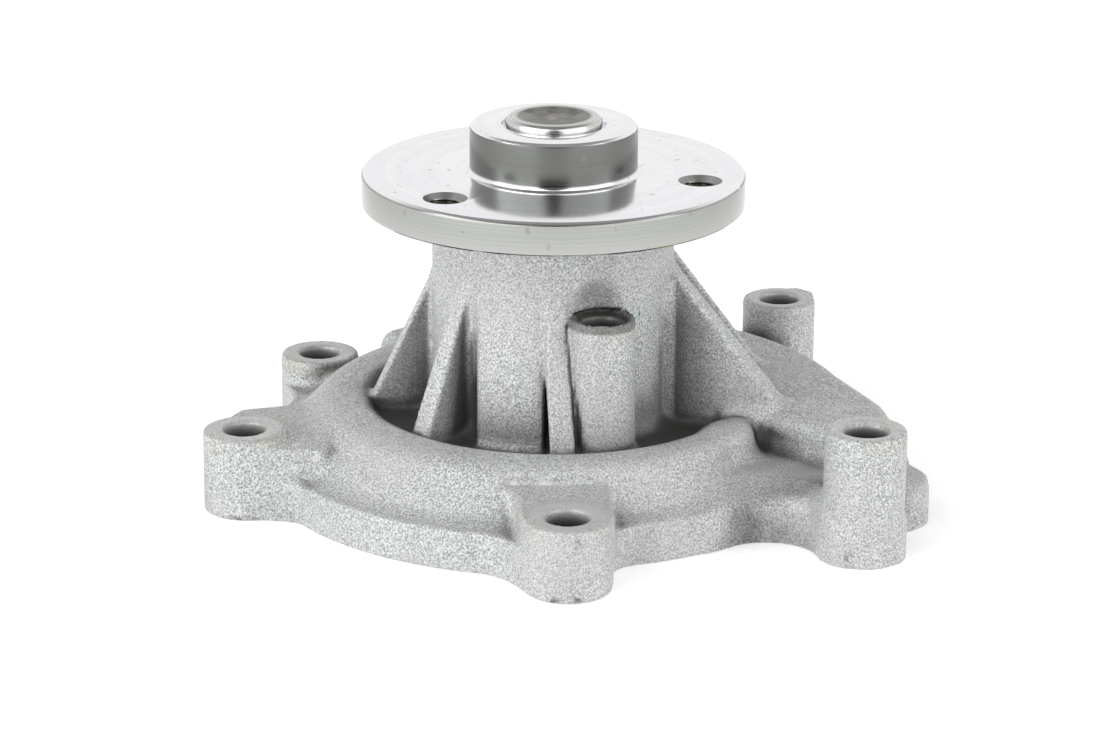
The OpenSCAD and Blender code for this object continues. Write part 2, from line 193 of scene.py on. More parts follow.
def turned(space, points, radius):
    """A section of [r, z] points turned about the axis, with radius as each column's distance."""
    fine = 0.2
    r = np.arange(0, float(radius.max()) + 2 * fine, fine)
    table = polygon(r[:, None], space.z[None, :], points).astype(np.float32)
    at = radius / fine
    i = at.astype(int)
    f = (at - i).astype(np.float32)[:, :, None]
    return table[i] * (1 - f) + table[i + 1] * f


def arc(cx, cy, r, a0, a1, n=8):
    return [(cx + r * math.cos(math.radians(a)), cy + r * math.sin(math.radians(a)))
            for a in np.linspace(a0, a1, n + 1)]


def polar(r, a):
    return (r * math.cos(math.radians(a)), r * math.sin(math.radians(a)))


def ease(low, high, v):
    t = np.clip((v - low) / (high - low), 0, 1)
    return t * t * (3 - 2 * t)


def skin(space, field, name, polish=2):
    """The mesh of a field's surface, in metres, with its points drawn onto the surface."""
    grid = openvdb.FloatGrid()
    grid.copyFromArray(np.clip(field, -3, 3).astype(np.float32))
    points, quads = grid.convertToQuads(isovalue=0.0)
    points = points.astype(float) * space.step + space.low
    for _ in range(polish):
        slope = space.slope(field, points, 0.5 * space.step)
        steep = np.maximum((slope ** 2).sum(1), 0.2)
        move = -(space.sample(field, points) / steep)[:, None] * slope
        points += np.clip(move, -0.4 * space.step, 0.4 * space.step)
    mesh = bpy.data.meshes.new(name)
    mesh.from_pydata((points * MM).tolist(), [], quads[:, ::-1].tolist())
    mesh.polygons.foreach_set("use_smooth", np.ones(len(mesh.polygons), bool))
    mesh.update()
    piece = bpy.data.objects.new(name, mesh)
    bpy.context.scene.collection.objects.link(piece)
    return piece, points


def shelter(s, field, points, normal):
    """How much of the light from the sides and above the solid itself keeps from each point."""
    size = np.array(field.shape) - 1
    start = points + 0.5 * normal
    total, hidden = np.full(len(points), 0.15), np.zeros(len(points))
    sides = [(a, 20, 1.0 if abs(a - 270) > 40 else 0.4) for a in range(180, 361, 30)]
    for turn, rise, weight in sides + [(a, 55, 0.7) for a in range(0, 360, 60)]:
        u, v = polar(math.cos(math.radians(rise)), turn)
        way = np.array([u, v, math.sin(math.radians(rise))])
        clear = np.ones(len(points))
        for reach in (1.2, 3.0, 6.0, 10.0, 15.0):
            i = np.clip(np.rint((start + way * reach - s.low) / s.step).astype(int), 0, size)
            clear = np.minimum(clear, field[i[:, 0], i[:, 1], i[:, 2]] / (0.3 * reach))
        facing = weight * np.maximum(normal @ way, 0)
        total += facing
        hidden += facing * (1 - np.clip(clear, 0, 1))
    return hidden / total


def paint(piece, name, values):
    """Stores a value from 0 to 1 at each point of the mesh, for its material to read."""
    layer = piece.data.attributes.new(name, "FLOAT", "POINT")
    layer.data.foreach_set("value", np.clip(values, 0, 1).astype(np.float32))


# ---------------------------------------------------------------- the casting

def scroll_r(a):
    return SCROLL_R0 + SCROLL_GROWTH * ((SCROLL_A0 - a) / (SCROLL_A0 - SCROLL_A1)) ** SCROLL_CURVE


def spiral(inset):
    return [polar(scroll_r(a) - inset, a) for a in np.arange(SCROLL_A0, SCROLL_A1 - 1, -SCROLL_STEP)]


def scroll_outline(inset):
    return spiral(inset) + [(55.9 - inset, -9.5), (57.0 - inset, -17), (55.0 - inset, -24 + inset),
                            (47, -22.8 + inset), (36.0 + inset / 2, -13.6 + inset), (0, 0)]


def beyond(s, name, near, far):
    """0 on the clockwise side of the spoke through a boss, 1 on its other side."""
    x, y = BOSSES[name][:2]
    return ease(near, far, (s.Y * x - s.X * y) / math.hypot(x, y))


def web(s, a, ra, b, rb, fillet, side):
    """Plan of the web between two circles, with a concave edge on one side."""
    d = math.dist(a, b)
    u, v = (b[0] - a[0]) / d, (b[1] - a[1]) / d
    x = ((ra + fillet) ** 2 - (rb + fillet) ** 2 + d * d) / (2 * d)
    y = side * math.sqrt((ra + fillet) ** 2 - x * x)
    c = (a[0] + x * u - y * v, a[1] + x * v + y * u)
    across = tuple(1.3 * (p + q) / 2 - 0.3 * r for p, q, r in zip(a, b, c))
    return np.maximum(polygon(s.X, s.Y, [a, c, b, across]), -s.circle(*c, fillet))


def flange_plan(s):
    radius = np.interp(s.A, [-180, -97, -80, -25, 0, 180],
                       [FLANGE_R, FLANGE_R, FRONT_R, FRONT_R, FLANGE_R, FLANGE_R])
    edge = spiral(-SCROLL_LEDGE)
    edge += [(60, -9), (60, -20), (54.5, -22), (51.5, -36), (46, -37), (0, 0)]
    plan = join(np.minimum(s.R - radius, polygon(s.X, s.Y, edge)), s.circle(*OUTLET_LOBE), 1.0)
    for name, (x, y, r, _) in BOSSES.items():
        fillet = WEB_FILLET[name]
        if name == "outlet":
            fillet = 1.2
            plan = np.minimum(plan, web(s, (0, 0), FRONT_R, (x, y), r, WEB_FILLET[name], -1))
        if name == "right_back":
            for side in (-1, 1):
                plan = np.minimum(plan, web(s, (0, 0), 50, (x, y), r, WEB_FILLET[name], side))
        plan = join(plan, s.circle(x, y, r), fillet)
    return plan


def neck_section():
    fillet, rim = 3.5, 0.8
    return ([(0, -5), (43, -5), (43, 6.5), (31, TROUGH_Z)]
            + arc(NECK_R + fillet, TROUGH_Z + fillet, fillet, 270, 180)
            + [(NECK_R, NECK_Z - rim), (NECK_R - rim, NECK_Z), (0, NECK_Z)])


def ring_section():
    return ([(28.5, -5), (DOME_FOOT_R, -5), (DOME_FOOT_R, FLANGE_T)]
            + arc(36.3, DOME_Z - 5, 5, 43.3, 90) + arc(33, DOME_Z - 3, 3, 90, 170) + [(29.4, 11)])


def side_view(s, along, points):
    """A section of [distance along, z] points carried sideways, as the side of a rib."""
    fine = 0.25
    rho = np.arange(float(along.min()), float(along.max()) + 2 * fine, fine)
    table = polygon(rho[:, None], s.z[None, :], points).astype(np.float32)
    at = (along - rho[0]) / fine
    i = np.clip(at.astype(int), 0, len(rho) - 2)
    f = (at - i).astype(np.float32)[:, :, None]
    return table[i] * (1 - f) + table[i + 1] * f


def rib(s, a, thick, top, foot):
    """A rib in a plane through the axis, with draft on its sides and rounded edges."""
    u, v = polar(1, a)
    side = side_view(s, s.X * u + s.Y * v, [(14, 6), (foot[0] + 1.2, 6), foot, top, (14, top[1] + 2)])
    half = np.abs(s.X * -v + s.Y * u)[:, :, None] - thick / 2 + (s.Z - 25) * 0.018
    return meet(side, half, 0.5)


def front_rib(s):
    """The rib at the front of the neck, which widens towards its foot."""
    side = side_view(s, -s.Y, [(14, 6), (28.2, 6), (27.1, 12.2), (NECK_R, 39), (14, 41)])
    low = 39 - s.Z
    x = s.X[:, :, None]
    across = np.maximum(-1.1 + 0.06 * np.maximum(low - 12, 0) - x, x - 2 - 0.073 * low)
    return meet(side, across, 0.5)


def neck_panel(s):
    """The thicker part of the neck left of the front rib, with a ledge along its foot."""
    drafted = s.R[:, :, None] - np.maximum(NECK_R - 0.3, NECK_R + 0.1 + (36 - s.Z) * 0.125)
    ledge = np.maximum(s.R[:, :, None] - 23.9 - (13.2 - s.Z) * 0.2, s.Z - 13.4)
    width = np.abs(s.X[:, :, None] + 6.8) - 5.6
    return np.maximum(meet(np.minimum(drafted, ledge), width, 0.4),
                      np.maximum(s.Y[:, :, None] + 12, 8 - s.Z))


def ring_end(s):
    """The dome ring's rounded end, which curls in towards the rib beside the outlet."""
    x, y = 28.6, -18.6
    bulb = s.circle(x, y, 4.7)[:, :, None]
    crown = s.Z - DOME_Z + 0.3
    return np.maximum(meet(bulb + np.maximum(12 - s.Z, 0) * -0.25, crown, 3.2), 5 - s.Z)


def casting_outside(s):
    foot = np.interp(s.A, [-180, -100, -80, -30, 0, 180],
                     [DOME_FOOT_R, DOME_FOOT_R, 43.6, 43.6, DOME_FOOT_R, DOME_FOOT_R])
    dome_r = s.R + (DOME_FOOT_R - foot) * ease(32, 43, s.R)
    body = turned(s, neck_section(), s.R)
    ring = turned(s, ring_section(), dome_r)
    end = polygon(s.X, s.Y, [(0, 0), (34, -12), (33.5, -17.5), (23.5, -37), (18, -90),
                             (-90, -90), (-90, 90), (0, 90)])
    ring = join(meet(ring, end[:, :, None], 3.0), ring_end(s), 2.0)
    body = join(body, ring, 1.6)

    plan = polygon(s.X, s.Y, scroll_outline(2.0)) - 2.0
    drafted = plan[:, :, None] + (s.Z - 14) * 0.1
    scroll = upright(s, drafted, -5, SCROLL_Z, 3.0)
    hollow = upright(s, s.circle(0, 0, 29.5), TROUGH_Z, 60, 0)
    body = join(body, cut(scroll, hollow, 1.6), 1.0)

    plate = flange_plan(s)
    level = polygon(s.X, s.Y, [(25.5, -30), (31.5, -27.5), (37, -27.5), (43, -31.5), (46, -36), (55, -34),
                               (55, -20), (34, -10), (24, -18)])
    deck = 0.9 * (s.Z - DECK_Z + 0.5 * np.maximum(level, 0)[:, :, None])
    deck = meet(deck, np.maximum(plate, level - 7.5)[:, :, None], 1.0)
    body = join(body, deck, 2.0)

    body = join(body, upright(s, plate, -5, FLANGE_T, 0.8), 1.5)

    block = polygon(s.X, s.Y, [(-55.9, -18), (-54, -10.6), (-51.6, -4.9), (-40, -1.2), (-38, -22.5),
                               (-44, -22.5), (-50.8, -22.9)]) - 1.5
    body = join(body, upright(s, block, -5, 12.5, 0.8), 2.0 * ease(-49, -44, s.X)[:, :, None])

    for name, (x, y, r, top) in BOSSES.items():
        plan = s.circle(x, y, r)
        if name == "right_back":
            corner = polygon(s.X - x, s.Y - y, [(-1, -1), (-1, 4.4), (3.4, 5), (5, 3.4), (4.4, -1)]) - 1.5
            plan = np.minimum(plan, corner)
        away = math.hypot(x, y)
        inner = (away - (s.X * x + s.Y * y) / away) / r
        blend = 2.6 * ease(-0.5, 0.9, inner)
        if name == "outlet":
            blend = blend * (1 - 0.8 * beyond(s, name, -2, 2))
        body = join(body, upright(s, plan, -5, top, 0.6), blend[:, :, None])
    bridge = polygon(s.X, s.Y, [(-3.4, -52), (8.6, -52), (8.2, -40), (-5.4, -40)]) - 1.0
    body = join(body, upright(s, bridge, 4, BOSSES["front"][3], 0.6), 1.6)
    pad = [(-7.6, -70), (9.2, -70), (9.2, -39), (-7.6, -39)]
    body = cut(body, upright(s, polygon(s.X, s.Y, pad), BOSSES["front"][3], 60, 0), 0.4)

    for a, thick, top_z, rib_foot in RIBS:
        body = join(body, rib(s, a, thick, (NECK_R, top_z), rib_foot), 1.0)
    body = join(body, neck_panel(s), 0.5)
    body = join(body, upright(s, s.circle(19.1, -7.5, 0.7), 8, 37, 0.5), 0.8)
    scoop = np.hypot(s.circle(VENT[0], VENT[1] - 0.4, 0)[:, :, None], s.Z - VENT[3] - 0.8) - 4.0
    body = cut(body, np.maximum(scoop, VENT[3] - 1 - s.Z), 2.0)
    vent = upright(s, s.circle(*VENT[:3])[:, :, None] + (s.Z - 24) * 0.01, 8, VENT[3], 0.3)
    body = join(body, vent, 1.2)
    return join(body, front_rib(s), 0.6)


def water_way(s):
    chamber = upright(s, s.circle(0, 0, CHAMBER_R), -9, CHAMBER_Z, 0)
    section = ([(CHAMBER_R - 1, -9), (GROOVE_R, -9), (GROOVE_R, GROOVE_Z - 2.5)]
               + arc(GROOVE_R - 2.5, GROOVE_Z - 2.5, 2.5, 0, 90)
               + [(CHAMBER_R + 1, GROOVE_Z), (CHAMBER_R - 1, CHAMBER_Z - 1)])
    groove = turned(s, section, s.R)
    sweep = polygon(s.X, s.Y, [(0, 0), polar(80, -46), (90, -90), (-90, -90), (-90, 90), polar(120, 135)])
    groove = meet(groove, sweep[:, :, None], 3.0)
    mouth = [(55.9 - SCROLL_WALL, -9.5), (56.4 - SCROLL_WALL, -23.5 + SCROLL_WALL),
             (46.3, -22.9 + SCROLL_WALL), (39.5, -9.5), (0, 0)]
    plan = polygon(s.X, s.Y, spiral(SCROLL_WALL) + mouth)
    passage = upright(s, np.maximum(plan, CHAMBER_R - 2 - s.R), -9, SCROLL_Z - SCROLL_WALL, 2.0)
    passage = np.maximum(passage, -upright(s, s.R - 33, CHAMBER_Z - 1, 60, 0))
    return join(join(chamber, groove, 1.0), passage, 1.0)


def column(s, x, y, r, z0, z1, r1=None):
    """A round cutter, tapered to r1 at its top."""
    wide = r if r1 is None else r + (r1 - r) * (s.Z - z0) / (z1 - z0)
    return np.maximum(s.circle(x, y, 0)[:, :, None] - wide, np.maximum(z0 - s.Z, s.Z - z1))


def machined(s, body):
    """The cuts a machine shop makes: mounting face, bores, bolt holes and chamfers."""
    cutters = [column(s, 0, 0, BORE_R, 1, 60), column(s, 0, 0, 17.2, 1, 10),
               column(s, 0, 0, BORE_R, NECK_Z - 0.6, NECK_Z + 0.2, BORE_R + 0.8)]
    for x, y, _, top in BOSSES.values():
        cutters.append(column(s, x, y, HOLE_R, -9, 60))
        cutters.append(column(s, x, y, HOLE_R, top - 0.35, top + 0.2, HOLE_R + 0.55))
    x, y, _, top = BOSSES["outlet"]
    cutters.append(column(s, x, y, HOLE_R, top - 0.85, top + 0.3, HOLE_R + 1.2))
    x, y, _, top = VENT
    cutters.append(column(s, x, y, HOLE_R, 16.6, top + 0.6))
    cutters.append(column(s, x, y, HOLE_R, top - 1.3, top + 0.3, HOLE_R + 2.1))
    for c in cutters:
        body = np.maximum(body, -c)
    for flat, low, high in zip((s.X, s.Y), *CAD_BOX):
        past = np.maximum(low / MM + BOX_CLEARANCE - flat, flat - high / MM + BOX_CLEARANCE)
        body = np.maximum(body, past[:, :, None])
    return np.maximum(body, -s.Z)


def build_casting():
    step = 0.5
    s = Space((-59.5, -62, -1.5), (64, 61.5, 47.2), step)
    field = machined(s, np.maximum(casting_outside(s), -water_way(s)))
    piece, p = skin(s, field, "housing_casting")
    normal = s.slope(field, p, 0.5 * step)
    normal /= np.linalg.norm(normal, axis=1)[:, None] + 1e-9
    # Painted shade, stored as a point value for the material: each point is darkened by how much of the light
    # from the sides and above the casting itself hides from it. The well round the neck near the ribs is
    # darkened more towards its floor.
    well_shade = ease(31.5, 29.5, np.hypot(p[:, 0], p[:, 1])) * ease(27, 11, p[:, 2]) * (p[:, 2] > 11)
    ribbed = ease(25.2, 23.2, np.hypot(p[:, 0], p[:, 1]))
    painted_shade = shelter(s, field, p, normal)
    paint(piece, "painted_shade", np.maximum(painted_shade, 0.42 * well_shade * ribbed))
    tool = (p[:, 2] < 0.12) | (np.hypot(p[:, 0], p[:, 1]) < 17.4)
    rim, bore = np.zeros(len(p)), np.zeros(len(p))
    for x, y, r, top in list(BOSSES.values()) + [VENT]:
        away = np.hypot(p[:, 0] - x, p[:, 1] - y)
        # Painted shade down each bolt hole and the vent hole: the bore is painted darker the deeper it goes
        # below the top.
        depth = ease(0.2, 3.0, top - p[:, 2]) * 0.8 + 0.1
        bore = np.maximum(bore, (away < HOLE_R + 0.3) * depth)
        below = p[:, 2] < top + 0.3
        tool |= below & ((away < HOLE_R + 0.2) | ((away < r - 0.7) & (p[:, 2] > top - 0.5)))
        rim = np.maximum(rim, below * (away < r + 1.2) * ease(-3.5, 0, p[:, 2] - top))
    paint(piece, "tool", tool)
    # Painted shade on the vent's countersink cone, at 0.6.
    x, y, _, top = VENT
    cone = (np.hypot(p[:, 0] - x, p[:, 1] - y) < HOLE_R + 2.2) & (np.abs(p[:, 2] - top + 0.7) < 0.66)
    paint(piece, "rim", rim)
    paint(piece, "bore", np.where(cone, 0.6, bore))
    return piece


casting = build_casting()
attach(casting, "pump_body")
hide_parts("housing")


# ---------------------------------------------------------------- turned parts

def new_piece(name, vertices, faces):
    """A smooth-shaded mesh, given in millimetres, whose edges over 30 degrees are crisp."""
    mesh = bpy.data.meshes.new(name)
    mesh.from_pydata([tuple(c * MM for c in v) for v in vertices], [], faces)
    shape = bmesh.new()
    shape.from_mesh(mesh)
    bmesh.ops.remove_doubles(shape, verts=shape.verts, dist=1e-7)
    bmesh.ops.recalc_face_normals(shape, faces=shape.faces)
    shape.to_mesh(mesh)
    shape.free()
    mesh.shade_smooth()
    mesh.set_sharp_from_angle(angle=math.radians(30))
    piece = bpy.data.objects.new(name, mesh)
    bpy.context.scene.collection.objects.link(piece)
    return piece


def lathe(name, points, sides=256, radius=lambda r, z, turn: r):
    """A closed section of [r, z] points turned about the axis."""
    angles = np.arange(sides) * 2 * math.pi / sides
    vertices = [(radius(r, z, i / sides) * math.cos(a), radius(r, z, i / sides) * math.sin(a), z)
                for r, z in points for i, a in enumerate(angles)]
    rows = len(points)
    faces = []
    for k in range(rows):
        low, high = k * sides, (k + 1) % rows * sides
        if points[k][0] or points[(k + 1) % rows][0]:
            faces += [(low + i, low + (i + 1) % sides, high + (i + 1) % sides, high + i)
                      for i in range(sides)]
    return new_piece(name, vertices, faces)


def carve(piece, cutter):
    """Cuts one piece's shape out of another, and drops the cutter."""
    cut_away = piece.modifiers.new("carve", "BOOLEAN")
    cut_away.operation, cut_away.solver, cut_away.object = "DIFFERENCE", "EXACT", cutter
    carved = bpy.data.meshes.new_from_object(piece.evaluated_get(bpy.context.evaluated_depsgraph_get()))
    piece.modifiers.clear()
    piece.data = carved
    carved.shade_smooth()
    carved.set_sharp_from_angle(angle=math.radians(30))
    bpy.data.objects.remove(cutter)


def thread_cutter(angle):
    """The shape of a threaded hole of the pulley flange, with a countersink at either end."""
    pitch, depth, minor = 1.0, 0.5, 2.5
    low, high = PULLEY_Z, PULLEY_Z + PULLEY_T

    def flank(r, z, turn):
        if r == 0:
            return 0
        step = abs(((z - low) / pitch - turn) % 1 - 0.5) * 2
        return max(minor + depth * step, minor + 1.12 + z - high, minor + 0.6 + low - z)

    rows = np.arange(low - 0.5, high + 0.51, 0.125)
    section = [(0, rows[0])] + [(minor, z) for z in rows] + [(0, rows[-1])]
    cutter = lathe("cutter", section, 48, flank)
    x, y = polar(BOLT_CIRCLE_R * MM, angle)
    cutter.data.transform(Matrix.Translation((x, y, 0)))
    return cutter


def build_pulley_flange():
    top, chamfer, foot = PULLEY_Z + PULLEY_T, 0.6, 0.7
    head = top + PILOT_H
    section = ([(SHAFT_R, PULLEY_Z), (PULLEY_R - 0.3, PULLEY_Z), (PULLEY_R, PULLEY_Z + 0.3)]
               + arc(PULLEY_R - 0.15, top - chamfer, 0.15, 0, 45, 2)
               + arc(PULLEY_R - chamfer, top - 0.15, 0.15, 45, 90, 2)
               + arc(PILOT_R + foot, top + foot, foot, 270, 180, 6)
               + arc(PILOT_R - 0.15, head - chamfer, 0.15, 0, 45, 2)
               + arc(PILOT_R - chamfer, head - 0.15, 0.15, 45, 90, 2)
               + [(SHAFT_R + 0.75, head), (SHAFT_R + 0.5, head - 1.3), (SHAFT_R, head - 1.5)])
    piece = lathe("pulley_flange_turned", section)
    for angle in HOLE_ANGLES:
        carve(piece, thread_cutter(angle))
    return piece


def build_shaft():
    low, spigot, spigot_z, edge = SHAFT_LOW, 6.0, 5.2, 1.0
    top = PULLEY_Z + PULLEY_T + PILOT_H + SHAFT_PROUD
    grooves = [p for z in (27.0, 38.6) for p in arc(9.95, z, 2.6, 220, 140, 10)]
    section = ([(0, low), (spigot - 0.5, low), (spigot, low + 0.5), (spigot, spigot_z), (SHAFT_R, spigot_z)]
               + grooves + arc(SHAFT_R - edge, top - edge, edge, 0, 80, 6)
               + [(5.6, top), (4.9, top - 0.3), (2.2, top - 0.42), (0, top - 0.45)])
    return lathe("shaft_ground", section, 128)


# ---------------------------------------------------------------- the impeller

def build_impeller():
    low, disc, top = SHAFT_LOW, 5.6, 7.6
    s = Space((-30, -30, 0.2), (30, 30, 8.6), 0.4)
    body = upright(s, s.R - IMPELLER_R, disc, top, 0.5)
    hub = upright(s, s.R[:, :, None] - 14 - (s.Z - low) * 0.15, low, top, 0.6)
    body = join(body, hub, 1.2)
    for i in range(VANES):
        c, d = polar(1, 360 * i / VANES)
        x, y = s.X * c + s.Y * d, s.Y * c - s.X * d
        curve = np.abs(np.hypot(x - 13.5, y - 12) - 14.2)
        ends = np.maximum(polygon(x, y, [(10, -4), (40, -4), (40, 30), (20, 14), (10, 4)]),
                          np.maximum(s.R - IMPELLER_R + 0.6, 13 - s.R))
        vane = meet(curve[:, :, None] - 0.75 - (s.Z - low) * 0.08, ends[:, :, None], 0.5)
        body = join(body, meet(vane, np.maximum(low - s.Z, s.Z - disc - 0.5), 0.4), 0.8)
    body = np.maximum(body, -column(s, 0, 0, 9.0, -5, 20))
    body = np.maximum(body, -column(s, 0, 0, 13.4, 5.2, 20))
    return skin(s, body, "impeller_cast")[0]


pulley = build_pulley_flange()
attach(pulley, "rotor")
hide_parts("pulley_flange")

shaft = build_shaft()
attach(shaft, "rotor")
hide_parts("shaft")

impeller = build_impeller()
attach(impeller, "rotor")
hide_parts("impeller")


# ---------------------------------------------------------------- materials

class Finish:
    """A material made of nodes. Its methods add a node and return that node's output."""

    def __init__(self, name):
        self.material = bpy.data.materials.new(name)
        self.material.use_nodes = True
        self.nodes, self.links = self.material.node_tree.nodes, self.material.node_tree.links
        self.nodes.clear()
        self.shader = self.nodes.new("ShaderNodeBsdfPrincipled")
        self.link(self.shader.outputs[0], self.nodes.new("ShaderNodeOutputMaterial").inputs[0])
        self.place = self.nodes.new("ShaderNodeTexCoord").outputs["Object"]

    def link(self, source, target):
        if hasattr(source, "is_linked"):
            self.links.new(source, target)
        else:
            target.default_value = source

    def noise(self, scale, detail=2.0, vector=None):
        n = self.nodes.new("ShaderNodeTexNoise")
        n.inputs["Scale"].default_value, n.inputs["Detail"].default_value = scale, detail
        self.link(vector or self.place, n.inputs["Vector"])
        return n.outputs["Fac"]

    def span(self, value, low, high, out_low=0.0, out_high=1.0):
        n = self.nodes.new("ShaderNodeMapRange")
        n.interpolation_type = "SMOOTHSTEP"
        for socket, v in zip(n.inputs[:5], (value, low, high, out_low, out_high)):
            self.link(v, socket)
        return n.outputs[0]

    def math(self, operation, a, b=0.0):
        n = self.nodes.new("ShaderNodeMath")
        n.operation = operation
        self.link(a, n.inputs[0])
        self.link(b, n.inputs[1])
        return n.outputs[0]

    def mix(self, amount, a, b, blend="MIX"):
        n = self.nodes.new("ShaderNodeMix")
        n.data_type, n.blend_type = "RGBA", blend
        for socket, v in zip((n.inputs[0], n.inputs[6], n.inputs[7]), (amount, a, b)):
            self.link((*v, 1) if isinstance(v, tuple) and len(v) == 3 else v, socket)
        return n.outputs[2]

    def vector(self, operation, a, b=None):
        n = self.nodes.new("ShaderNodeVectorMath")
        n.operation = operation
        self.link(a, n.inputs[0])
        if b is not None:
            self.link(b, n.inputs[1])
        return n

    def spot(self, centre, reach, stretch=(1, 1, 1)):
        """1 at a point given in millimetres, fading to 0 at reach."""
        away = self.vector("SUBTRACT", self.place, tuple(c * MM for c in centre)).outputs[0]
        away = self.vector("MULTIPLY", away, stretch).outputs[0]
        return self.span(self.vector("LENGTH", away).outputs["Value"], 0.0, reach * MM, 1.0, 0.0)

    def column(self, centre, outer, inner):
        """1 within inner of an upright line through a point, 0 beyond outer, in millimetres."""
        away = self.vector("SUBTRACT", self.place, tuple(c * MM for c in centre)).outputs[0]
        flat = self.vector("MULTIPLY", away, (1, 1, 0)).outputs[0]
        return self.span(self.vector("LENGTH", flat).outputs["Value"], outer * MM, inner * MM)

    def painted(self, name):
        n = self.nodes.new("ShaderNodeAttribute")
        n.attribute_name = name
        return n.outputs["Fac"]

    def worn_edge(self, low=0.53, high=0.62):
        return self.span(self.nodes.new("ShaderNodeNewGeometry").outputs["Pointiness"], low, high)

    def polar_place(self):
        """Distance from the shaft's axis and height, as a vector in metres."""
        parts = self.nodes.new("ShaderNodeSeparateXYZ")
        self.link(self.place, parts.inputs[0])
        flat = self.nodes.new("ShaderNodeCombineXYZ")
        self.link(parts.outputs[0], flat.inputs[0])
        self.link(parts.outputs[1], flat.inputs[1])
        both = self.nodes.new("ShaderNodeCombineXYZ")
        radius = self.vector("LENGTH", flat.outputs[0]).outputs["Value"]
        self.link(radius, both.inputs[0])
        self.link(parts.outputs[2], both.inputs[2])
        return both.outputs[0], radius, parts.outputs[2]

    def bump(self, height, depth, strength=1.0):
        """Raises the surface by height, from 0 to 1, times depth in millimetres."""
        n = self.nodes.new("ShaderNodeBump")
        n.inputs["Strength"].default_value, n.inputs["Distance"].default_value = strength, depth * MM
        self.link(height, n.inputs["Height"])
        self.link(n.outputs[0], self.shader.inputs["Normal"])

    def set(self, **values):
        for key, v in values.items():
            self.link(v, self.shader.inputs[key.replace("_", " ").title().replace("Ior", "IOR")])
        return self.material


def cast_aluminium():
    f = Finish("cast_aluminium")
    grain = f.noise(3300, 3.0)
    pits = f.noise(900, 2.0)
    broad = f.noise(55, 3.0)
    patches = f.noise(170, 2.0)
    colour = f.mix(f.span(grain, 0.32, 0.68), (0.26, 0.27, 0.265), (0.70, 0.715, 0.70))
    colour = f.mix(f.span(broad, 0.35, 0.7, 0.0, 0.35), colour, (0.47, 0.46, 0.485))
    colour = f.mix(f.span(pits, 0.27, 0.36, 0.35, 0.0), colour, (0.16, 0.16, 0.155))
    colour = f.mix(f.math("MULTIPLY", f.worn_edge(), 0.5), colour, (0.80, 0.80, 0.79))
    # Painted shade: darkens the colour where the casting hides its own light, and low in the well round the
    # neck.
    hollow = f.span(f.painted("painted_shade"), 0.05, 0.60, 0.0, 0.96)
    colour = f.mix(hollow, colour, (0.035, 0.035, 0.032))
    stain = f.math("MULTIPLY", f.painted("rim"), f.span(patches, 0.48, 0.62, 0.0, 0.22))
    colour = f.mix(stain, colour, (0.42, 0.36, 0.20))
    dirt = 0
    for centre, reach, stretch in DIRT:
        dirt = f.math("MAXIMUM", dirt, f.spot(centre, reach, stretch))
    dirt = f.math("MULTIPLY", dirt, f.span(f.noise(900, 2.0), 0.42, 0.56))
    colour = f.mix(f.math("MULTIPLY", dirt, 0.8), colour, (0.05, 0.05, 0.045))
    colour = f.mix(f.spot(GREEN_FLECK, 0.5, (1, 1, 0.6)), colour, (0.0, 0.16, 0.10))
    tool = f.painted("tool")
    rings = f.noise(1500, 2.0, f.polar_place()[0])
    cut_metal = f.mix(rings, (0.44, 0.44, 0.44), (0.66, 0.66, 0.66))
    colour = f.mix(f.math("MULTIPLY", tool, 0.55), colour, cut_metal)
    # Painted shade inside the holes and on the vent's countersink: near black, darker with depth.
    colour = f.mix(f.painted("bore"), colour, (0.018, 0.018, 0.016))
    rough = f.span(grain, 0.3, 0.7, 0.62, 0.44)
    rough = f.math("SUBTRACT", rough, f.math("MULTIPLY", tool, 0.14))
    f.bump(f.math("MULTIPLY", f.math("SUBTRACT", 1.0, f.math("MULTIPLY", tool, 0.7)),
                  f.math("ADD", grain, f.math("MULTIPLY", pits, 0.8))), 0.16, 0.55)
    return f.set(base_color=colour, roughness=rough, metallic=0.25)


